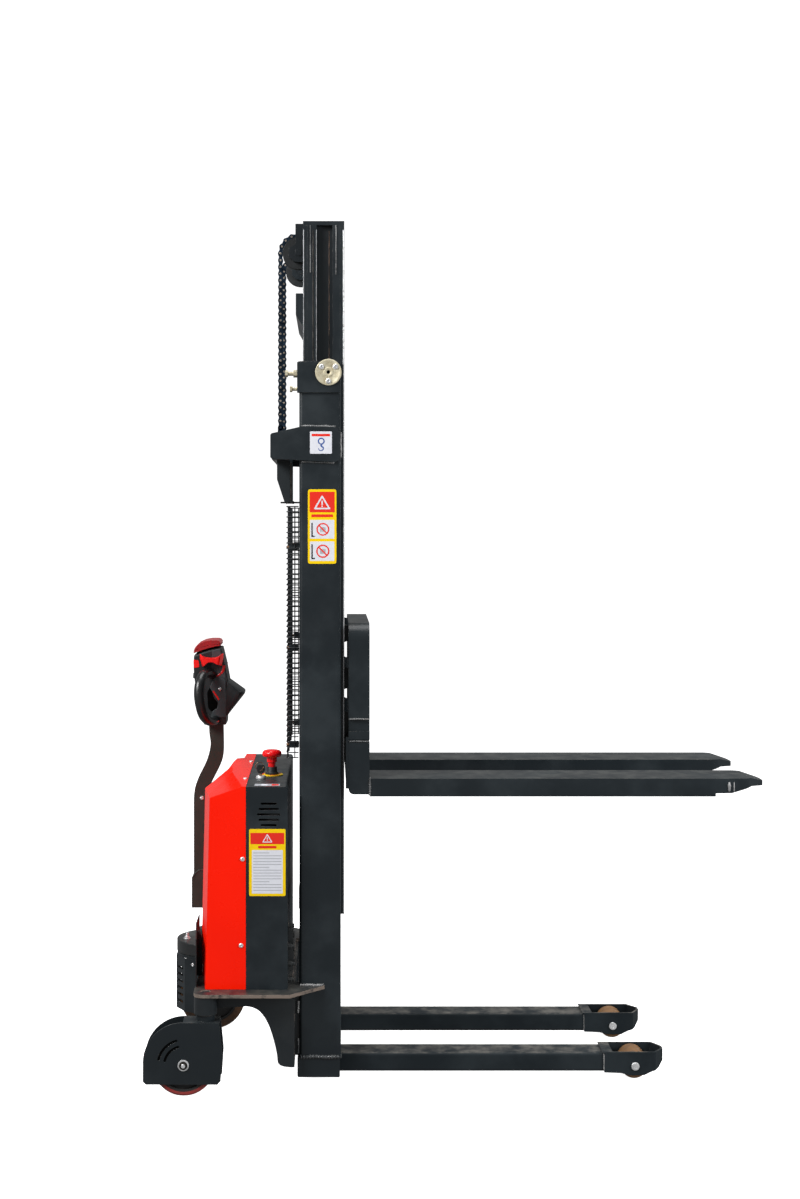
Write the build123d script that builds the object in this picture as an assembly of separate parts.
from build123d import *
import os
from math import cos, radians, sin

# Walkie stacker. Millimetres, +Z up, +X towards the fork tips, -Y on the operator's right.
# Origin: on the floor, under the middle of the overall box. The mast stands partly raised.

# ---------- driving dimensions ----------
HALF_LENGTH = 896.0
HALF_WIDTH = 405.0
AXLE_HEAD = 9.0

# outer mast: two channels with the webs outside
MAST_Y = 305.0
MAST_X0, MAST_X1 = -457.0, -337.0
MAST_Z0, MAST_Z1 = 82.0, 2085.0
FLANGE = 12.0
WEB = 8.0
MAST_FLANGE_Y = 262.0

# inner mast: two I-beams nested between the channels
BEAM_Y0, BEAM_Y1 = 212.0, 258.0
BEAM_X0, BEAM_X1 = -447.0, -327.0
BEAM_Z0, BEAM_Z1 = 484.0, 2496.0
BEAM_WEB_Y0, BEAM_WEB_Y1 = 231.0, 239.0
TIE = 12.0

# rollers
TOP_ROLLER = (-375.0, 2052.0, 35.7)
LOW_ROLLER = (-397.0, 544.0, 47.5)
CARRIAGE_ROLLER_X, CARRIAGE_ROLLER_R = -387.0, 47.5
CARRIAGE_ROLLER_Z = {"upper": 1310.0, "lower": 960.0}
ROLLER_PIN_R = 14.0
FIT = 0.05

# lift chains and sheaves
CHAIN_Y = 184.0
CHAIN_HALF = 8.5
CHAIN_DEPTH = 8.0
SHEAVE_X, SHEAVE_Z = -461.0, 2412.0
SHEAVE_PITCH_R = 53.0
SHEAVE_ROOT_R, SHEAVE_FLANGE_R = 44.5, 47.0
SHEAVE_PIN_R = 10.0
REAR_RUN_X = SHEAVE_X - SHEAVE_PITCH_R
FRONT_RUN_X = SHEAVE_X + SHEAVE_PITCH_R
CHAIN_ANCHOR_Z = 1896.0
CARRIAGE_ANCHOR_Z = 1213.0

# lift cylinder
CYLINDER_X = -405.0
BARREL_R, RAM_R = 30.0, 18.0
BARREL_TOP = 2030.0
RAM_Z0 = 790.0

# mesh guard behind the mast
GUARD_X0, GUARD_X1 = -495.0, -459.0
GUARD_HALF = 290.0
GUARD_Z0, GUARD_Z1 = 940.0, 1665.0
GUARD_PITCH = 15.1
WIRE_R = 1.7
CLIP_Z = (979.0, 1258.0, 1549.0)

# straddle legs and load wheels
LEG_Y0, LEG_Y1 = 154.0, 246.0
LEG_Z0, LEG_Z1 = 23.0, 77.0
LEG_END = 430.0
BRACKET_Y0, BRACKET_Y1 = 150.0, 252.0
BRACKET_END, BRACKET_TOP = 606.0, 81.0
BRACKET_PLATE = 6.0
LOAD_X, LOAD_R, LOAD_WIDTH = 519.0, 40.0, 75.0
LOAD_Y = 200.0
LOAD_AXLE_R = 10.0

# forks and carriage
FORK_Y0, FORK_Y1 = 115.0, 285.0
FORK_TOP, FORK_BOTTOM = 881.0, 829.0
FORK_X0 = -254.0
FORK_PLATE, FORK_WALL = 8.0, 6.0
CARRIAGE_X0, CARRIAGE_X1 = -323.0, -315.0
FRAME_Z0, FRAME_TOP = 1053.0, 1329.0
FRAME_BEND, FRAME_BAR = 46.0, 10.0

# base plate, castor and drive unit
BASE_Z0, BASE_Z1 = 279.0, 289.0
BASE_REAR = -755.0
GUSSET_Y = 330.0
CROSS_X0, CROSS_X1 = -482.0, -470.0
CASTOR_X, CASTOR_Y = -722.0, -369.0
CASTOR_AXLE_X, CASTOR_R, CASTOR_WIDTH = -782.0, 90.0, 50.0
CASTOR_RIM_R = 78.0
SPINDLE_R = 15.0
FENDER_HALF = HALF_WIDTH + CASTOR_Y
DRIVE_X, DRIVE_Y = -745.0, 289.0
DRIVE_R, DRIVE_WIDTH = 105.0, 70.0
DRIVE_CAP_R = 116.0
DRIVE_AXLE_R = 12.0

# hood
HOOD_HALF = 350.0
HOOD_FRONT, HOOD_SPLIT = -489.0, -608.0
HOOD_TOP = 867.0
SHEET = 2.5
ESTOP_AT = (-542.0, -115.0)
KEY_AT = (-572.0, -190.0)

# tiller
TILLER_PIN_X, TILLER_PIN_Z = -747.0, 440.0
ARM_HALF = 20.0
HEAD_HALF = 62.0
GRIP_HALF = 170.0
BELLY_SLOPE = 17.8
BELLY_DIR = (sin(radians(BELLY_SLOPE)), 0, -cos(radians(BELLY_SLOPE)))

# The tiller's left grip and the castor's axle head set the overall width, so the truck's middle
# plane, about which everything below is drawn, lies this far from the row's XZ plane.
MIDDLE_Y = -(DRIVE_Y + GRIP_HALF - HALF_WIDTH - AXLE_HEAD) / 2

nodes = {}


# ---------- helpers ----------
def block(x0, x1, y0, y1, z0, z1):
    return Pos((x0 + x1) / 2, (y0 + y1) / 2, (z0 + z1) / 2) * Box(x1 - x0, y1 - y0, z1 - z0)


def rod_x(y, z, r, x0, x1):
    return Pos((x0 + x1) / 2, y, z) * Rot(0, 90, 0) * Cylinder(r, x1 - x0)


def rod_y(x, z, r, y0, y1):
    return Pos(x, (y0 + y1) / 2, z) * Rot(90, 0, 0) * Cylinder(r, y1 - y0)


def rod_z(x, y, r, z0, z1):
    return Pos(x, y, (z0 + z1) / 2) * Cylinder(r, z1 - z0)


def hex_x(y, z, r, x0, x1):
    return Pos(x0, y, z) * Rot(0, 90, 0) * extrude(RegularPolygon(r, 6), amount=x1 - x0)


def hex_y(x, z, r, y0, y1):
    return Pos(x, y1, z) * Rot(90, 0, 0) * extrude(RegularPolygon(r, 6), amount=y1 - y0)


def hex_z(x, y, r, z0, z1):
    return Pos(x, y, z0) * extrude(RegularPolygon(r, 6), amount=z1 - z0)


def side_plane(y):
    """Plane whose local x and y are the row's X and Z; its normal is -Y."""
    return Plane(origin=(0, y, 0), x_dir=(1, 0, 0), z_dir=(0, -1, 0))


def plate_xz(face, y0, y1):
    return extrude(side_plane(y1) * face, amount=y1 - y0)


def plate_xy(face, z0, z1):
    return extrude(Pos(0, 0, z0) * face, amount=z1 - z0)


def outline(points, radius=0.0, corners=None):
    """Closed polygon; the listed corner numbers, or all, are rounded by radius."""
    face = make_face(Polyline(*points, close=True))
    if radius:
        chosen = points if corners is None else [points[i] for i in corners]
        picked = [v for v in face.vertices()
                  if any(abs(v.X - p[0]) < 1e-4 and abs(v.Y - p[1]) < 1e-4 for p in chosen)]
        face = fillet(picked, radius)
    return face


def other_side(shape):
    return mirror(shape, about=Plane.XZ)


def group(*shapes):
    solids = []
    for shape in shapes:
        solids.extend(shape.solids())
    return Compound(solids)


def pair(shape):
    """The right-hand piece and its mirror image, as separate solids of one node."""
    return group(shape, other_side(shape))


def slot_xz(x, z, length, height, y0, y1):
    return plate_xz(Pos(x, z) * SlotOverall(length, height), y0, y1)


# ---------- outer mast ----------
def outer_channel():
    """Right-hand channel with its roller housing plate at the top."""
    y_out, y_in, y_tip = -MAST_Y, -MAST_Y + WEB, -MAST_FLANGE_Y
    section = outline([
        (MAST_X0, y_out), (MAST_X1, y_out), (MAST_X1, y_tip), (MAST_X1 - FLANGE, y_tip),
        (MAST_X1 - FLANGE, y_in), (MAST_X0 + FLANGE, y_in), (MAST_X0 + FLANGE, y_tip), (MAST_X0, y_tip),
    ], 10.0, corners=(0, 1))
    body = plate_xy(section, MAST_Z0, MAST_Z1)
    plate = plate_xz(outline([(-463, 1994), (-339, 1994), (-339, 2083), (-463, 2083)], 5), y_out - 8, y_out)
    rear_leg = block(-463, MAST_X0, y_out - 8, y_tip - 6, 1996, 2081)
    body = body + plate + rear_leg
    x, z, _ = TOP_ROLLER
    body -= rod_y(x, z, ROLLER_PIN_R + FIT, y_out - 10, y_in + 2)
    body -= rod_x(-285, 2050, 6.3, -470, MAST_X0 + FLANGE + 2)
    return body


def mast_foot():
    beam = block(-462, -340, -MAST_Y, MAST_Y, 25, MAST_Z0)
    return fillet(beam.edges().filter_by(Axis.Y), 4)


def roller_flange():
    """Zinc-plated cap with the top roller's pin and three screw heads."""
    x, z, _ = TOP_ROLLER
    face_y = -MAST_Y - 8
    body = rod_y(x + 2, z, 38, face_y - 6, face_y) + rod_y(x, z, ROLLER_PIN_R, face_y, -241)
    body -= rod_y(x + 2, z, 5, face_y - 7, face_y + 12)
    for angle in (30, 150, 270):
        body += rod_y(x + 2 + 27 * cos(radians(angle)), z + 27 * sin(radians(angle)), 8,
                      face_y - 10, face_y - 6)
    return body


def adjuster_bolt():
    y, z = -285, 2050
    body = rod_x(y, z, 6, -490, -438) + hex_x(y, z, 10, -498, -490)
    return body + hex_x(y, z, 11, -474, -463)


# ---------- chain anchors ----------
def chain_anchor_frame():
    side = plate_xz(outline([
        (-540, 1804), (-352, 1794), (-339, 1806), (-339, 1878), (-350, 1895), (-448, 1897), (-540, 1876),
    ], 7), -MAST_Y - 10, -MAST_Y)
    shelf = block(-536, -488, -MAST_Y, MAST_Y, 1802, 1816)
    wall = block(-500, -488, -MAST_Y, MAST_Y, 1816, 1885)
    body = side + other_side(side) + shelf + wall
    for y in (-CHAIN_Y, CHAIN_Y):
        body -= rod_z(REAR_RUN_X, y, 7.3, 1800, 1820)
    gusset = plate_xz(outline([(-524, 1802), (-524, 1747), (-502, 1680), (-486, 1680), (-486, 1802)]),
                      -210, -202)
    return body + gusset + other_side(gusset)


def chain_anchor_rod():
    body = rod_z(REAR_RUN_X, -CHAIN_Y, 7, 1760, 1862)
    body += hex_z(REAR_RUN_X, -CHAIN_Y, 12, 1782, 1802)
    clevis = block(REAR_RUN_X - 7, REAR_RUN_X + 7, -CHAIN_Y - CHAIN_HALF, -CHAIN_Y + CHAIN_HALF,
                   1850, CHAIN_ANCHOR_Z)
    return body + clevis


# ---------- mesh guard ----------
def guard_hoop(z):
    """One wire, bent back towards the mast at both ends."""
    x = GUARD_X0 + WIRE_R
    bend = 10.0
    path = FilletPolyline((GUARD_X1, -GUARD_HALF + WIRE_R, z), (x, -GUARD_HALF + WIRE_R, z),
                          (x, GUARD_HALF - WIRE_R, z), (GUARD_X1, GUARD_HALF - WIRE_R, z), radius=bend)
    start = Plane(origin=path @ 0, z_dir=path % 0)
    return sweep(start * Circle(WIRE_R), path=path)


def mesh_guard():
    count = int((GUARD_Z1 - GUARD_Z0) / GUARD_PITCH)
    hoops = [guard_hoop(GUARD_Z0 + 2 + i * GUARD_PITCH) for i in range(count + 1)]
    x = GUARD_X0 + 3 * WIRE_R + 0.05
    posts = [rod_z(x, y, WIRE_R, GUARD_Z0, GUARD_Z1) for y in (-260, -130, 0, 130, 260)]
    y_side = GUARD_HALF - 3 * WIRE_R - 0.05
    posts += [rod_z(-470, y, WIRE_R, GUARD_Z0, GUARD_Z1) for y in (-y_side, y_side)]
    return group(*hoops, *posts)


def guard_clips():
    clips = []
    for z in CLIP_Z:
        tab = block(-480, MAST_X0, -281, -266, z - 11, z + 11)
        bolt = rod_x(-273.5, z, 4, -489, -480) + hex_x(-273.5, z, 7, -488, -484)
        clips.append(tab + bolt)
    return group(*[pair(clip) for clip in clips])


# ---------- lift cylinder ----------
def lift_barrel():
    body = rod_z(CYLINDER_X, 0, BARREL_R, MAST_Z0, BARREL_TOP)
    body += rod_z(CYLINDER_X, 0, 36, BARREL_TOP - 34, BARREL_TOP)
    body -= rod_z(CYLINDER_X, 0, 24, 110, BARREL_TOP - 40)
    return body - rod_z(CYLINDER_X, 0, RAM_R + FIT, BARREL_TOP - 42, BARREL_TOP + 1)


def lift_ram():
    body = rod_z(CYLINDER_X, 0, RAM_R, RAM_Z0, BEAM_Z1 - TIE)
    return body + rod_z(CYLINDER_X, 0, 24 - FIT, RAM_Z0, RAM_Z0 + 40)


# ---------- inner mast ----------
def inner_beam():
    section = outline([
        (BEAM_X0, -BEAM_Y1), (BEAM_X0 + FLANGE, -BEAM_Y1), (BEAM_X0 + FLANGE, -BEAM_WEB_Y1),
        (BEAM_X1 - FLANGE, -BEAM_WEB_Y1), (BEAM_X1 - FLANGE, -BEAM_Y1), (BEAM_X1, -BEAM_Y1),
        (BEAM_X1, -BEAM_Y0), (BEAM_X1 - FLANGE, -BEAM_Y0), (BEAM_X1 - FLANGE, -BEAM_WEB_Y0),
        (BEAM_X0 + FLANGE, -BEAM_WEB_Y0), (BEAM_X0 + FLANGE, -BEAM_Y0), (BEAM_X0, -BEAM_Y0),
    ])
    x, z, _ = LOW_ROLLER
    return plate_xy(section, BEAM_Z0, BEAM_Z1 - TIE) + rod_y(x, z, ROLLER_PIN_R, -294.5, -BEAM_WEB_Y1)


def inner_crossbars():
    """Top tie between the beams and two plates across their backs."""
    rear = BEAM_X0 - 21
    top = block(BEAM_X0, BEAM_X1, -BEAM_Y1, BEAM_Y1, BEAM_Z1 - TIE, BEAM_Z1)
    middle = plate_xz(outline([(BEAM_X0, 2189), (rear + 4, 2218), (rear, 2225), (rear, 2286),
                               (BEAM_X0, 2286)]), -BEAM_Y1, BEAM_Y1)
    low = block(rear + 9, BEAM_X0, -BEAM_Y1, BEAM_Y1, 500, 560)
    return group(top, middle, low)


def sheave_bracket():
    """Two cheeks behind the beam, with the sheave's pin between them."""
    cheek = outline([(-470, BEAM_Z1), (-470, 2436), (-489, 2425), (-489, 2399), (-474, 2385),
                     (BEAM_X0, 2383), (BEAM_X0, BEAM_Z1)], 6, corners=(2, 3, 4))
    body = plate_xz(cheek, -212, -200) + plate_xz(cheek, -168, -160)
    # the tie stays above the chain, which runs over the sheave
    body += block(-470, BEAM_X0, -212, -160, BEAM_Z1 - TIE, BEAM_Z1)
    return body + rod_y(SHEAVE_X, SHEAVE_Z, SHEAVE_PIN_R, -215, -157)


def chain_sheave():
    y0, y1 = -CHAIN_Y - 12, -CHAIN_Y + 12
    body = rod_y(SHEAVE_X, SHEAVE_Z, SHEAVE_ROOT_R, y0, y1)
    for a, b in ((y0, y0 + 2.5), (y1 - 2.5, y1)):
        body += rod_y(SHEAVE_X, SHEAVE_Z, SHEAVE_FLANGE_R, a, b)
    return body - rod_y(SHEAVE_X, SHEAVE_Z, SHEAVE_PIN_R + FIT, y0 - 1, y1 + 1)


def chain_run(x, z0, z1):
    return block(x - CHAIN_DEPTH, x + CHAIN_DEPTH, -CHAIN_Y - CHAIN_HALF, -CHAIN_Y + CHAIN_HALF, z0, z1)


def chain_wrap():
    y0, y1 = -CHAIN_Y - CHAIN_HALF, -CHAIN_Y + CHAIN_HALF
    ring = rod_y(SHEAVE_X, SHEAVE_Z, SHEAVE_PITCH_R + CHAIN_DEPTH, y0, y1)
    ring -= rod_y(SHEAVE_X, SHEAVE_Z, SHEAVE_ROOT_R + 0.4, y0 - 1, y1 + 1)
    return ring & block(SHEAVE_X - 80, SHEAVE_X + 80, y0 - 1, y1 + 1, SHEAVE_Z, SHEAVE_Z + 80)


def roller(x, z, r, y0, y1):
    body = rod_y(x, z, r, y0, y1)
    body = chamfer(body.edges().filter_by(GeomType.CIRCLE), 1.5)
    return body - rod_y(x, z, ROLLER_PIN_R + FIT, y0 - 1, y1 + 1)


# ---------- fork carriage ----------
def carriage_frame():
    """Flat bar bent over both top corners, standing proud of the rear plate."""
    outer = outline([(-FORK_Y1, FRAME_Z0), (-FORK_Y1, FRAME_TOP), (FORK_Y1, FRAME_TOP), (FORK_Y1, FRAME_Z0)],
                    FRAME_BEND, corners=(1, 2))
    inner_y, inner_top = FORK_Y1 - FRAME_BAR, FRAME_TOP - FRAME_BAR
    inner = outline([(-inner_y, FRAME_Z0 - 1), (-inner_y, inner_top), (inner_y, inner_top),
                     (inner_y, FRAME_Z0 - 1)], FRAME_BEND - FRAME_BAR, corners=(1, 2))
    end = Plane(origin=(CARRIAGE_X1, 0, 0), x_dir=(0, 1, 0), z_dir=(1, 0, 0))
    return extrude(end * (outer - inner), amount=FORK_X0 - CARRIAGE_X1)


def fork_carriage():
    inner_y = FORK_Y1 - FRAME_BAR
    rear = block(CARRIAGE_X1, CARRIAGE_X1 + 8, -inner_y, inner_y, 993, FRAME_TOP - FRAME_BEND)
    rear += block(CARRIAGE_X1, CARRIAGE_X1 + 8, -inner_y + 40, inner_y - 40, 1200, FRAME_TOP - FRAME_BAR)
    backing = block(CARRIAGE_X0, CARRIAGE_X1, -FORK_Y1, FORK_Y1, 870, 1000)
    # the backing stays above the straddle legs when the forks are down; its ears hang outside them
    ear = block(CARRIAGE_X0, CARRIAGE_X1, -FORK_Y1, -FORK_Y1 + 22, 852, 870)
    front_bar = block(FORK_X0 - 8, FORK_X0, -inner_y, inner_y, 1060, 1130)
    shelf = block(CARRIAGE_X1, FORK_X0, -FORK_Y1, FORK_Y1, FRAME_Z0, FRAME_Z0 + 10)
    strip = block(CARRIAGE_X1, FORK_X0, -FORK_Y1, FORK_Y1, 993, 1017)
    webs = block(CARRIAGE_X1, FORK_X0, -inner_y, -inner_y + 8, 1017, FRAME_Z0)
    body = rear + backing + carriage_frame() + front_bar + shelf + strip
    body += webs + other_side(webs) + ear + other_side(ear)
    x_wide, x_slim = CARRIAGE_X1, -331
    plate = outline([(-430, 905), (-345, 905), (CARRIAGE_X0, 925), (CARRIAGE_X0, 1000), (x_wide, 1000),
                     (x_wide, 1064), (x_slim, 1070), (x_slim, 1130), (x_wide, 1136), (x_wide, 1193),
                     (x_slim, 1199), (x_slim, 1268), (x_wide, 1274), (x_wide, 1318), (-345, 1326),
                     (-345, 1358), (-430, 1358)])
    side = plate_xz(plate, -208, -196)
    for z in CARRIAGE_ROLLER_Z.values():
        side += rod_y(CARRIAGE_ROLLER_X, z, ROLLER_PIN_R, -229, -208)
    side += block(FRONT_RUN_X - 10, FRONT_RUN_X + 10, -196, -CHAIN_Y + CHAIN_HALF + 3, 1185,
                  CARRIAGE_ANCHOR_Z)
    return body + side + other_side(side)


def fork():
    """Right-hand fork: an upturned channel with a drooping, rounded tip and an open heel."""
    profile = outline([(FORK_X0, FORK_BOTTOM), (746, FORK_BOTTOM), (746, FORK_BOTTOM + 9),
                       (793, FORK_BOTTOM + 10), (853, 857), (HALF_LENGTH, 854), (HALF_LENGTH, 868),
                       (HALF_LENGTH - 46, FORK_TOP), (FORK_X0, FORK_TOP)])
    body = plate_xz(profile, -FORK_Y1, -FORK_Y0)
    plan = outline([(FORK_X0, -FORK_Y1), (HALF_LENGTH - 60, -FORK_Y1), (HALF_LENGTH, -FORK_Y1 + 52),
                    (HALF_LENGTH, -FORK_Y0 - 52), (HALF_LENGTH - 60, -FORK_Y0), (FORK_X0, -FORK_Y0)],
                   30, corners=(1, 2, 3, 4))
    body = body & plate_xy(plan, FORK_BOTTOM - 5, FORK_TOP + 5)
    body -= block(FORK_X0 - 1, HALF_LENGTH - 70, -FORK_Y1 + FORK_WALL, -FORK_Y0 - FORK_WALL,
                  FORK_BOTTOM - 10, FORK_TOP - FORK_PLATE)
    heel = plate_xz(outline([(CARRIAGE_X1, FORK_BOTTOM + 6), (FORK_X0, FORK_BOTTOM + 6), (FORK_X0, 985),
                             (CARRIAGE_X1, 985)], 16, corners=(0,)), -FORK_Y1, -FORK_Y0)
    heel -= block(CARRIAGE_X1 - 1, FORK_X0 + 1, -FORK_Y1 + FORK_WALL, -FORK_Y0 - FORK_WALL,
                  FORK_BOTTOM, FORK_TOP - FORK_PLATE)
    heel -= block(CARRIAGE_X1 + 8, FORK_X0 - 10, -FORK_Y1 + FORK_WALL, -FORK_Y0 - FORK_WALL,
                  FORK_TOP, 993)
    return body + heel


# ---------- straddle legs ----------
def leg():
    section = outline([(LEG_Y0, LEG_Z0), (LEG_Y1, LEG_Z0), (LEG_Y1, LEG_Z1), (LEG_Y0, LEG_Z1)], 8)
    hollow = outline([(LEG_Y0 + 6, LEG_Z0 + 6), (LEG_Y1 - 6, LEG_Z0 + 6), (LEG_Y1 - 6, LEG_Z1 - 6),
                      (LEG_Y0 + 6, LEG_Z1 - 6)], 3)
    end = Plane(origin=(-340, 0, 0), x_dir=(0, 1, 0), z_dir=(1, 0, 0))
    tube = extrude(end * section, amount=LEG_END + 340) - extrude(end * hollow, amount=LEG_END + 340)
    body = tube + leg_bracket()
    body -= rod_y(LOAD_X, LOAD_R, LOAD_AXLE_R + FIT, BRACKET_Y0 - 1, BRACKET_Y1 + 1)
    return other_side(body)


def leg_bracket():
    """Plate bent round the load wheel, open above and below, with a cover over the leg's end."""
    plan = [(LEG_END, BRACKET_Y0), (BRACKET_END - 24, BRACKET_Y0), (BRACKET_END, BRACKET_Y0 + 40),
            (BRACKET_END, BRACKET_Y1 - 38), (BRACKET_END - 28, BRACKET_Y1), (LEG_END, BRACKET_Y1)]
    outer = outline(plan, 5, corners=(1, 2, 3, 4))
    ring = outer - offset(outer, -BRACKET_PLATE, kind=Kind.INTERSECTION)
    side = outline([(LEG_END, 22), (478, 20), (500, 14), (545, 14), (566, 24), (590, 32), (BRACKET_END, 48),
                    (BRACKET_END, BRACKET_TOP), (LEG_END, BRACKET_TOP)], 6, corners=(1, 4, 6))
    body = plate_xy(ring, 0, 100) & plate_xz(side, BRACKET_Y0 - 1, BRACKET_Y1 + 1)
    return body + block(LEG_END - 6, LEG_END + 24, BRACKET_Y0, BRACKET_Y1, LEG_Z1, BRACKET_TOP)


def load_axle():
    body = rod_y(LOAD_X, LOAD_R, LOAD_AXLE_R, -BRACKET_Y1 - 2, -BRACKET_Y0 + 2)
    for y0, y1 in ((-BRACKET_Y1 - 5, -BRACKET_Y1), (-BRACKET_Y0, -BRACKET_Y0 + 5)):
        body += rod_y(LOAD_X, LOAD_R, 12, y0, y1)
    return body


def load_wheel():
    y0, y1 = -LOAD_Y - LOAD_WIDTH / 2, -LOAD_Y + LOAD_WIDTH / 2
    tyre = chamfer(rod_y(LOAD_X, LOAD_R, LOAD_R, y0, y1).edges().filter_by(GeomType.CIRCLE), 3)
    tyre -= rod_y(LOAD_X, LOAD_R, 28, y0 - 1, y1 + 1)
    hub = rod_y(LOAD_X, LOAD_R, 28, y0 + 1, y1 - 1)
    hub -= rod_y(LOAD_X, LOAD_R, LOAD_AXLE_R + FIT, y0, y1)
    return group(tyre, hub)


# ---------- chassis plate ----------

def chassis_plate():
    plan = outline([
        (BASE_REAR, -HALF_WIDTH), (-482, -HALF_WIDTH), (-384, -MAST_Y), (MAST_X0, -MAST_Y),
        (MAST_X0, -MAST_FLANGE_Y), (-478, -MAST_FLANGE_Y), (-478, MAST_FLANGE_Y), (MAST_X0, MAST_FLANGE_Y),
        (MAST_X0, MAST_Y), (-384, MAST_Y), (-482, HALF_WIDTH), (-640, HALF_WIDTH), (BASE_REAR, 170),
    ])
    plan = fillet([v for v in plan.vertices() if v.X < -700 and v.Y < 0], 30)
    body = plate_xy(plan, BASE_Z0, BASE_Z1)
    body -= rod_z(DRIVE_X, DRIVE_Y, 124, BASE_Z0 - 1, BASE_Z1 + 1)
    near = plate_xz(gusset_profile(-692), -GUSSET_Y - 5, -GUSSET_Y + 5)
    far = plate_xz(gusset_profile(-608), GUSSET_Y - 5, GUSSET_Y + 5)
    cross = block(CROSS_X0, CROSS_X1, -GUSSET_Y - 5, GUSSET_Y + 5, 63, BASE_Z0)
    body = body + near + far + cross
    for side in (-1, 1):
        y0, y1 = sorted((side * (MAST_FLANGE_Y + 4), side * (MAST_Y - 10)))
        body += block(CROSS_X1, MAST_X0, y0, y1, 86, BASE_Z0)
    body += rod_z(CASTOR_X, CASTOR_Y, 32.5, 228, BASE_Z0)
    body -= rod_z(CASTOR_X, CASTOR_Y, SPINDLE_R + 0.06, 220, BASE_Z1 + 1)
    body -= rod_z(-500, 0, 8, BASE_Z0 - 1, BASE_Z1 + 1)
    return body - rod_x(0, 94, 8, CROSS_X0 - 1, CROSS_X1 + 1)


def gusset_profile(x_rear):
    """Arched web under the plate; the arch is a spline between the plate and the foot."""
    arch = Spline((-611, 237), (-560, 212), (-530, 144), (-519, 88), (-500, 65),
                  tangents=((1, 0), (1, -0.25)))
    edges = [arch, Line((-500, 65), (CROSS_X0, 63)), Line((CROSS_X0, 63), (CROSS_X0, BASE_Z0))]
    if x_rear < -611:
        edges += [Line((CROSS_X0, BASE_Z0), (x_rear, BASE_Z0)), Line((x_rear, BASE_Z0), (x_rear, 232)),
                  Line((x_rear, 232), (-611, 237))]
    else:
        edges += [Line((CROSS_X0, BASE_Z0), (-611, BASE_Z0)), Line((-611, BASE_Z0), (-611, 237))]
    return make_face(edges)


# ---------- castor ----------
def castor_fork():
    profile = make_face([
        Line((-686, 36), (8 - HALF_LENGTH, 36)), Line((8 - HALF_LENGTH, 36), (-HALF_LENGTH, 44)),
        Line((-HALF_LENGTH, 44), (-HALF_LENGTH, 98)),
        RadiusArc((-HALF_LENGTH, 98), (-784, 210), 112),
        Line((-784, 210), (-681, 210)), Line((-681, 210), (-672, 120)), Line((-672, 120), (-677, 46)),
        Line((-677, 46), (-686, 36)),
    ])
    y0 = CASTOR_Y - FENDER_HALF
    y1 = CASTOR_Y + FENDER_HALF
    near = plate_xz(profile, y0, y0 + 5)
    for radius in (72, 54):
        near -= arc_slot(radius, y0)
    body = near + plate_xz(profile, y1 - 5, y1)
    body += block(-784, -681, y0, y1, 205, 210)
    body += block(-690, -685, y0 + 2, y1 - 2, 150, 207)
    roof = rod_y(CASTOR_AXLE_X, CASTOR_R, 103, y0 + 2, y1 - 2)
    roof -= rod_y(CASTOR_AXLE_X, CASTOR_R, 98, y0, y1)
    body += roof & block(-HALF_LENGTH, -784, y0, y1, 98, 205)
    body -= rod_y(CASTOR_AXLE_X, CASTOR_R, 10 + FIT, y0 - 1, y1 + 1)
    body += rod_z(CASTOR_X, CASTOR_Y, 26, 210, 227.6)
    return body + rod_z(CASTOR_X, CASTOR_Y, SPINDLE_R, 210, 286)


def arc_slot(radius, y_face):
    """Curved slot in the outer fender plate, part of a turn about the axle."""
    line = CenterArc((CASTOR_AXLE_X, CASTOR_R), radius, 106, 60)
    return plate_xz(SlotArc(line, 7.0), y_face - 1, y_face + 6)


def castor_axle():
    y0, y1 = CASTOR_Y - FENDER_HALF, CASTOR_Y + FENDER_HALF
    body = rod_y(CASTOR_AXLE_X, CASTOR_R, 10, y0 - 2, y1 + 2)
    for inner, washer, outer in ((y0, y0 - 2, y0 - AXLE_HEAD), (y1, y1 + 2, y1 + AXLE_HEAD)):
        body += rod_y(CASTOR_AXLE_X, CASTOR_R, 16, min(inner, washer), max(inner, washer))
        body += hex_y(CASTOR_AXLE_X, CASTOR_R, 11, min(washer, outer), max(washer, outer))
    return body


def disc_wheel(x, y, z, r, width, rim_r, chamfer_size):
    tyre = rod_y(x, z, r, y - width / 2, y + width / 2)
    tyre = chamfer(tyre.edges().filter_by(GeomType.CIRCLE), chamfer_size)
    return tyre - rod_y(x, z, rim_r, y - width / 2 - 1, y + width / 2 + 1)


def wheel_hub(x, y, z, rim_r, width, bore_r, boss_r):
    body = rod_y(x, z, rim_r, y - width / 2, y + width / 2)
    for side in (-1, 1):
        y0, y1 = sorted((y + side * (width / 2 - 9), y + side * (width / 2 + 1)))
        pocket = rod_y(x, z, rim_r - 7, y0, y1) - rod_y(x, z, boss_r, y0 - 1, y1 + 1)
        body -= pocket
    return body - rod_y(x, z, bore_r, y - width, y + width)


# ---------- drive unit ----------
def drive_mount():
    ring = rod_z(DRIVE_X, DRIVE_Y, 115, 238, 248)
    tongue = block(-700, CROSS_X0, 200, GUSSET_Y - 5.2, 238, 248)
    return (ring + tongue) - rod_z(DRIVE_X, DRIVE_Y, 84, 237, 249)


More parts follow.
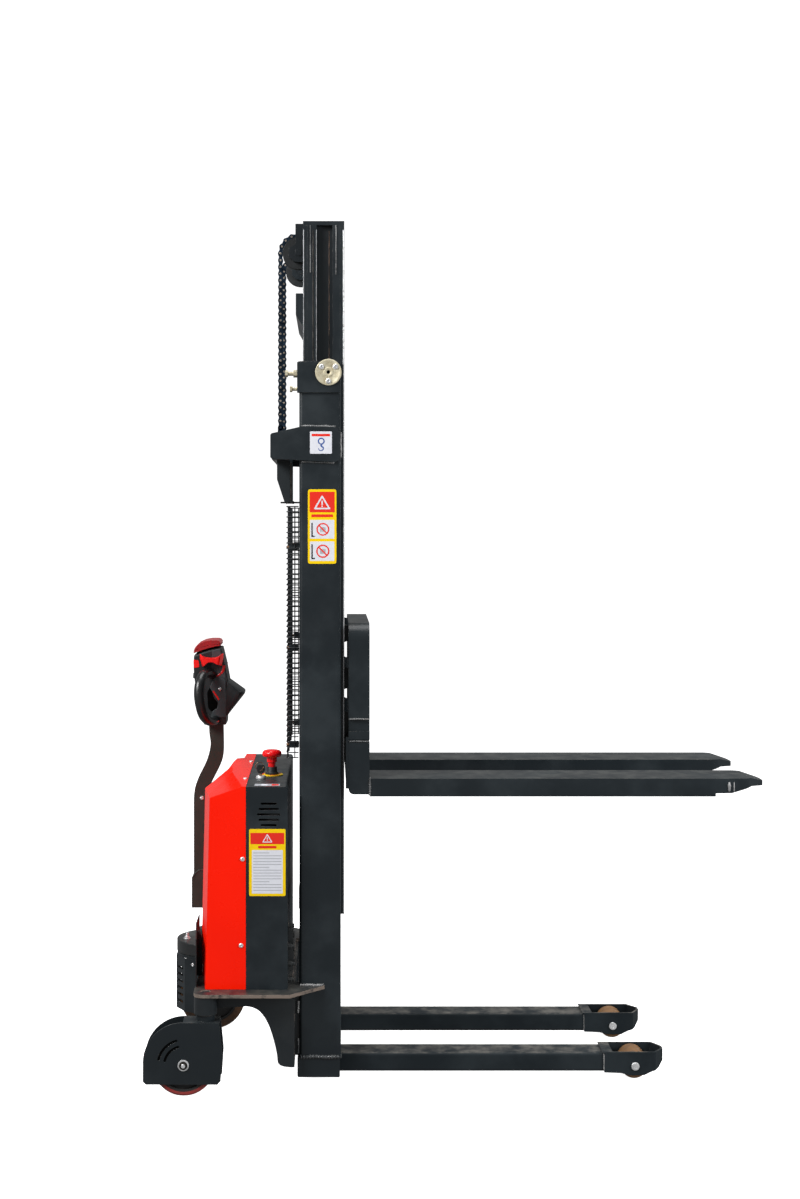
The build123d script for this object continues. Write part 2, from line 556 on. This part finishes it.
def foot_guard():
    """Faceted shroud behind the drive wheel, with rows of slots."""
    outer = Pos(DRIVE_X, DRIVE_Y) * RegularPolygon(115.5, 12, major_radius=False, rotation=15)
    inner = Pos(DRIVE_X, DRIVE_Y) * RegularPolygon(112.5, 12, major_radius=False, rotation=15)
    body = plate_xy(outer, 70, 237.8) - plate_xy(inner, 60, 250)
    body -= block(DRIVE_X + 12, DRIVE_X + 130, DRIVE_Y - 130, DRIVE_Y + 130, 60, 250)
    for turn in (150, 180, 210):
        facet = Pos(DRIVE_X, DRIVE_Y) * Rot(0, 0, turn)
        for i in range(6):
            body -= facet * Pos(114, 0, 97 + 21.2 * i) * Box(14, 38, 8)
    return body


def drive_unit():
    body = rod_z(DRIVE_X, DRIVE_Y, DRIVE_CAP_R, 250, 287) + rod_z(DRIVE_X, DRIVE_Y, 78, 214, 250)
    body = fillet(body.edges().filter_by(GeomType.CIRCLE).sort_by(Axis.Z)[-1], 3)
    body += block(DRIVE_X - 30, DRIVE_X + 30, DRIVE_Y + 41, DRIVE_Y + 63, 60, 215)
    body += rod_y(DRIVE_X, DRIVE_R, DRIVE_AXLE_R, DRIVE_Y - 40, DRIVE_Y + 42)
    # tiller post with the pin's lug
    body += rod_z(DRIVE_X, DRIVE_Y, 45, 287, 318)
    lug = block(TILLER_PIN_X - 22, TILLER_PIN_X + 22, DRIVE_Y - ARM_HALF + 0.4, DRIVE_Y + ARM_HALF - 0.4,
                318, TILLER_PIN_Z)
    lug += rod_y(TILLER_PIN_X, TILLER_PIN_Z, 22, DRIVE_Y - ARM_HALF + 0.4, DRIVE_Y + ARM_HALF - 0.4)
    lug -= rod_y(TILLER_PIN_X, TILLER_PIN_Z, 10 + FIT, DRIVE_Y - 40, DRIVE_Y + 40)
    return body + lug


def drive_cap_bolt():
    x, y = -826, DRIVE_Y - 22
    return hex_z(x, y, 10, 287, 294) + rod_z(x, y, 5, 294, 306)


# ---------- tiller ----------
def tiller_arm():
    left = Spline((-806, 700), (-800.5, 776), (-780, 825), (-765, 856), (-752, 911), (-757, 974),
                  tangents=((0, 1), (0, 1)))
    right = Spline((-712, 974), (-711, 911), (-716, 856), (-729, 825), (-753, 776), (-763, 700),
                   tangents=((0, -1), (0, -1)))
    blade = make_face([
        left, Line((-757, 974), (-712, 974)), right, Line((-763, 700), (-763, 474)),
        Line((-763, 474), (-806, 474)), Line((-806, 474), (-806, 700)),
    ])
    body = plate_xz(blade, DRIVE_Y - ARM_HALF, DRIVE_Y + ARM_HALF)
    cheek = outline([(-812, 386), (-716, 386), (-716, 470), (-735, 508), (-790, 508), (-812, 486)], 14,
                    corners=(2, 3, 4, 5))
    for side in (-1, 1):
        y0, y1 = sorted((DRIVE_Y + side * ARM_HALF, DRIVE_Y + side * (ARM_HALF + 8)))
        body += plate_xz(cheek, y0, y1)
    return body + rod_y(TILLER_PIN_X, TILLER_PIN_Z, 10, DRIVE_Y - ARM_HALF - 12, DRIVE_Y + ARM_HALF + 12)


def tiller_head():
    housing = plate_xz(outline([
        (-799, 1100), (-784, 1013), (-769, 974), (-700, 974), (-697, 1002), (-686, 1060), (-693, 1118),
        (-716, 1227), (-758, 1217), (-801, 1199), (-801, 1150),
    ]), DRIVE_Y - HEAD_HALF, DRIVE_Y + HEAD_HALF)
    housing = fillet(housing.edges().filter_by(Axis.Y).filter_by(lambda e: e.center().Z > 1110), 5)
    wing = plate_xz(outline([(-694, 1116), (-640, 1081), (-697, 1004)], 4, corners=(1,)),
                    DRIVE_Y - 50, DRIVE_Y + 50)
    body = housing + wing
    for side in (-1, 1):
        y0, y1 = sorted((DRIVE_Y + side * (HEAD_HALF - 12), DRIVE_Y + side * GRIP_HALF))
        ring = Rectangle(y1 - y0, 150)
        hole = Rectangle(y1 - y0 - 52, 98)
        frame = fillet(ring.vertices(), 44) - fillet(hole.vertices(), 22)
        plane = Plane(origin=(-797, (y0 + y1) / 2, 1063), x_dir=(0, 1, 0), z_dir=(1, 0, 0))
        body += extrude(plane * frame, amount=28)
    body -= rod_y(-745, 1180, 6 + FIT, DRIVE_Y - HEAD_HALF - 1, DRIVE_Y + HEAD_HALF + 1)
    for y, z, r in head_button_places():
        body -= rod_x(y, z, r + 0.4, -812, -784)
    plunger = plunger_rod(8 + FIT, 34, 10)
    return body - plunger


def plunger_rod(r, below, above):
    """Round stem square to the belly switch, from its seat into the housing."""
    seat = Vector(-758, DRIVE_Y, 1221)
    direction = Vector(*BELLY_DIR)
    start = seat - direction * above
    plane = Plane(origin=(start.X, start.Y, start.Z), x_dir=(0, 1, 0), z_dir=BELLY_DIR)
    return extrude(plane * Circle(r), amount=above + below)


def head_button_places():
    return ((DRIVE_Y, 1170, 12), (DRIVE_Y - 26, 1130, 9), (DRIVE_Y + 26, 1130, 9))


def head_button(y, z, r):
    return rod_x(y, z, r, -808, -788)


def belly_switch():
    cap = make_face([
        Line((-803, 1205), (-758, 1222)), Line((-758, 1222), (-717, 1232)), Line((-717, 1232), (-716, 1239)),
        Spline((-716, 1239), (-728, 1248), (-771, 1245), (-789, 1235), (-804, 1211)),
        Line((-804, 1211), (-803, 1205)),
    ])
    body = plate_xz(cap, DRIVE_Y - HEAD_HALF, DRIVE_Y + HEAD_HALF)
    return body + plunger_rod(8, 24, 2)


def thumb_levers():
    """Butterfly levers on one shaft through the head."""
    y_wing = HEAD_HALF + 1.5
    body = rod_y(-745, 1180, 6, DRIVE_Y - y_wing - 12, DRIVE_Y + y_wing + 12)
    wing = outline([(-780, 1201), (-768, 1193), (-722, 1193), (-709, 1203), (-711, 1176), (-726, 1164),
                    (-766, 1164), (-779, 1178)], 3)
    for side in (-1, 1):
        y0, y1 = sorted((DRIVE_Y + side * y_wing, DRIVE_Y + side * (y_wing + 36)))
        body += plate_xz(wing, y0, y1)
    return body


# ---------- hood ----------
def hood_cabinet():
    body = block(HOOD_SPLIT, HOOD_FRONT, -HOOD_HALF, HOOD_HALF, BASE_Z1, HOOD_TOP)
    body = fillet(body.edges().filter_by(Axis.Y).sort_by(Axis.Z)[-2:].sort_by(Axis.X)[-1], 8)
    body -= block(HOOD_SPLIT - 1, HOOD_FRONT - SHEET, -HOOD_HALF + SHEET, HOOD_HALF - SHEET,
                  BASE_Z1 - 1, HOOD_TOP - SHEET)
    for i, length in enumerate((46, 58, 66, 58, 46)):
        for y in (-HOOD_HALF, HOOD_HALF):
            body -= slot_xz(-543, 819 - 15.3 * i, length, 6, y - 5, y + 5)
    return body - rod_z(*KEY_AT, 10.2, HOOD_TOP - 10, HOOD_TOP + 1)


def cover_solid(inset):
    """The cover's outer form, or the form inset from it by the sheet's thickness."""
    lean = 13.0
    front = HOOD_SPLIT - 0.4
    rear = [(-711, -HOOD_HALF), (-740, -120), (-682, 59), (-665, 240), (-643, 254), (-640, HOOD_HALF)]
    top_points = [(front, -HOOD_HALF)] + rear + [(front, HOOD_HALF)]
    low_points = [(front, -HOOD_HALF)] + [(x - lean, y) for x, y in rear] + [(front, HOOD_HALF)]
    top, low = outline(top_points), outline(low_points)
    if inset:
        top, low = offset(top, -inset, kind=Kind.INTERSECTION), offset(low, -inset, kind=Kind.INTERSECTION)
        # the sheet is open towards the cabinet
        top += Pos(front - 6, 0) * Rectangle(26, 2 * (HOOD_HALF - inset))
        low += Pos(front - 6, 0) * Rectangle(26, 2 * (HOOD_HALF - inset))
    z0, z1 = BASE_Z1 + 0.4 - (20 if inset else 0), HOOD_TOP + 1 - inset
    body = loft([Pos(0, 0, z0) * low, Pos(0, 0, z1) * top], ruled=True)
    return body - slope_cut(inset)


def slope_cut(inset):
    """Prisms that slice off the sloping facets behind the flat top."""
    fold = Vector(-653, -350, HOOD_TOP + 1)
    along = Vector(-10, 286, 0)
    down = Vector(-58, 0, -29)
    first = facet_box(fold, along, down, inset)
    corner = Vector(-663, -64, HOOD_TOP + 1)
    along = Vector(-19, 123, 0)
    down = Vector(-77, -56, -30)
    return first + facet_box(corner, along, down, inset)


def facet_box(point, along, down, inset):
    normal = along.cross(down).normalized()
    if normal.Z < 0:
        normal = -normal
    origin = point - normal * inset
    plane = Plane(origin=(origin.X, origin.Y, origin.Z), x_dir=along.normalized(), z_dir=normal)
    return plane * Pos(0, 0, 150) * Box(2000, 2000, 300)


def hood_cover():
    return cover_solid(0) - cover_solid(SHEET)


def hood_screws():
    screws = [rod_y(x, z, 6, -HOOD_HALF - 3, -HOOD_HALF) for x, z in ((-618, 661), (-622, 415))]
    screws += [other_side(s) for s in screws]
    screws += [rod_z(-617, y, 6, HOOD_TOP + 1, HOOD_TOP + 4) for y in (-200, 160)]
    return group(*screws)


def rear_kick_plate():
    plan = outline([(-751, -320), (-766, -120), (-766, 0), (-769, 0), (-769, -120), (-754, -320)])
    body = plate_xy(plan, BASE_Z1, 425)
    foot = block(-766, -756, -60, 0, BASE_Z1, BASE_Z1 + 3)
    return body + foot


def hood_switches():
    x, y = ESTOP_AT
    base = rod_z(x, y, 33, HOOD_TOP, HOOD_TOP + 4) + rod_z(x, y, 17, HOOD_TOP, HOOD_TOP + 31)
    base -= rod_z(x, y, 11 + FIT, HOOD_TOP + 2, HOOD_TOP + 40)
    x, y = KEY_AT
    barrel = rod_z(x, y, 10, HOOD_TOP - 20, HOOD_TOP) + rod_z(x, y, 14, HOOD_TOP, HOOD_TOP + 9)
    barrel -= rod_z(x, y, 4 + FIT, HOOD_TOP - 10, HOOD_TOP + 12)
    return group(base, barrel)


def estop_button():
    x, y = ESTOP_AT
    body = rod_z(x, y, 11, 877, 906) + rod_z(x, y, 15, 906, 921) + rod_z(x, y, 29, 921, 943)
    return fillet(body.edges().filter_by(GeomType.CIRCLE).sort_by(Axis.Z)[-2:], 9)


def ignition_key():
    x, y = KEY_AT
    body = rod_z(x, y, 4, HOOD_TOP, HOOD_TOP + 14)
    bow = plate_xz(outline([(x - 6, 880), (x + 6, 880), (x + 13, 892), (x + 10, 908), (x - 10, 908),
                            (x - 13, 892)], 3), y - 2, y + 2)
    return body + bow


def hydraulic_pipe():
    path = FilletPolyline((-500, 0, 400), (-500, 0, 94), (CYLINDER_X - BARREL_R + 0.4, 0, 94), radius=22)
    pipe = sweep(Plane(origin=path @ 0, z_dir=path % 0) * Circle(6), path=path)
    nut = hex_x(0, 94, 10, -452, -440)
    block_one = block(HOOD_FRONT, -474, -300, -262, 330, 450)
    fittings = [rod_x(-281, z, 9, -474, -471) for z in (350, 390, 430)]
    return group(pipe - block(-440, -430, -20, 20, 80, 110), nut - rod_x(0, 94, 6.4, -460, -430),
                 block_one + fittings)


# ---------- assembly ----------
def both_sides(name, shape):
    nodes[name + "_right"] = shape
    nodes[name + "_left"] = other_side(shape)


both_sides("outer_channel", outer_channel())
nodes["mast_foot"] = mast_foot()
nodes["roller_flanges"] = pair(roller_flange())
nodes["adjuster_bolts"] = pair(adjuster_bolt())
nodes["chain_anchor_frame"] = chain_anchor_frame()
nodes["chain_anchor_rods"] = pair(chain_anchor_rod())
nodes["mesh_guard"] = mesh_guard()
nodes["guard_clips"] = guard_clips()
nodes["lift_barrel"] = lift_barrel()
nodes["lift_ram"] = lift_ram()
both_sides("inner_beam", inner_beam())
nodes["inner_crossbars"] = inner_crossbars()
nodes["sheave_brackets"] = pair(sheave_bracket())
nodes["chain_sheaves"] = pair(chain_sheave())
nodes["chain_rear_runs"] = pair(chain_run(REAR_RUN_X, CHAIN_ANCHOR_Z, SHEAVE_Z))
nodes["chain_front_runs"] = pair(chain_run(FRONT_RUN_X, CARRIAGE_ANCHOR_Z, SHEAVE_Z))
nodes["chain_wraps"] = pair(chain_wrap())
nodes["mast_rollers_top"] = pair(roller(*TOP_ROLLER, -257, -241.5))
nodes["mast_rollers_low"] = pair(roller(*LOW_ROLLER, -293, -264))
for place, height in CARRIAGE_ROLLER_Z.items():
    wheel = roller(CARRIAGE_ROLLER_X, height, CARRIAGE_ROLLER_R, -228, -213)
    nodes["carriage_rollers_" + place] = pair(wheel)
nodes["fork_carriage"] = fork_carriage()
both_sides("fork", fork())
both_sides("straddle_leg", leg())
nodes["load_axles"] = pair(load_axle())
both_sides("load_wheel", load_wheel())
nodes["chassis_plate"] = chassis_plate()
nodes["castor_fork"] = castor_fork()
nodes["castor_axle"] = castor_axle()
nodes["castor_tyre"] = disc_wheel(CASTOR_AXLE_X, CASTOR_Y, CASTOR_R, CASTOR_R, CASTOR_WIDTH,
                                   CASTOR_RIM_R, 5)
nodes["castor_hub"] = wheel_hub(CASTOR_AXLE_X, CASTOR_Y, CASTOR_R, CASTOR_RIM_R, CASTOR_WIDTH - 2,
                                 10 + FIT, 24)
nodes["drive_mount"] = drive_mount()
nodes["foot_guard"] = foot_guard()
nodes["drive_unit"] = drive_unit()
nodes["drive_cap_bolt"] = drive_cap_bolt()
nodes["drive_tyre"] = disc_wheel(DRIVE_X, DRIVE_Y, DRIVE_R, DRIVE_R, DRIVE_WIDTH, 82, 4)
nodes["drive_hub"] = wheel_hub(DRIVE_X, DRIVE_Y, DRIVE_R, 82, DRIVE_WIDTH - 2, DRIVE_AXLE_R + FIT, 34)
nodes["tiller_arm"] = tiller_arm()
nodes["tiller_head"] = tiller_head()
nodes["belly_switch"] = belly_switch()
nodes["thumb_levers"] = thumb_levers()
for name, place in zip(("horn_button", "lift_button", "lower_button"), head_button_places()):
    nodes[name] = head_button(*place)
nodes["hood_cabinet"] = hood_cabinet()
nodes["hood_cover"] = hood_cover()
nodes["hood_screws"] = hood_screws()
nodes["rear_kick_plate"] = rear_kick_plate()
nodes["hood_switches"] = hood_switches()
nodes["estop_button"] = estop_button()
nodes["ignition_key"] = ignition_key()
nodes["battery_pack"] = group(block(-600, -495, -300, -20, 300, 520), block(-600, -495, 20, 300, 300, 520))
nodes["hydraulic_unit"] = group(rod_z(-548, -180, 52, 530, 700), block(-598, -498, -60, 150, 530, 720))
nodes["motor_controller"] = block(-598, -500, 180, 300, 540, 700)
nodes["hydraulic_pipe"] = hydraulic_pipe()

os.makedirs("parts", exist_ok=True)
for name, shape in nodes.items():
    export_step(Pos(0, MIDDLE_Y, 0) * shape, f"parts/{name}.step")
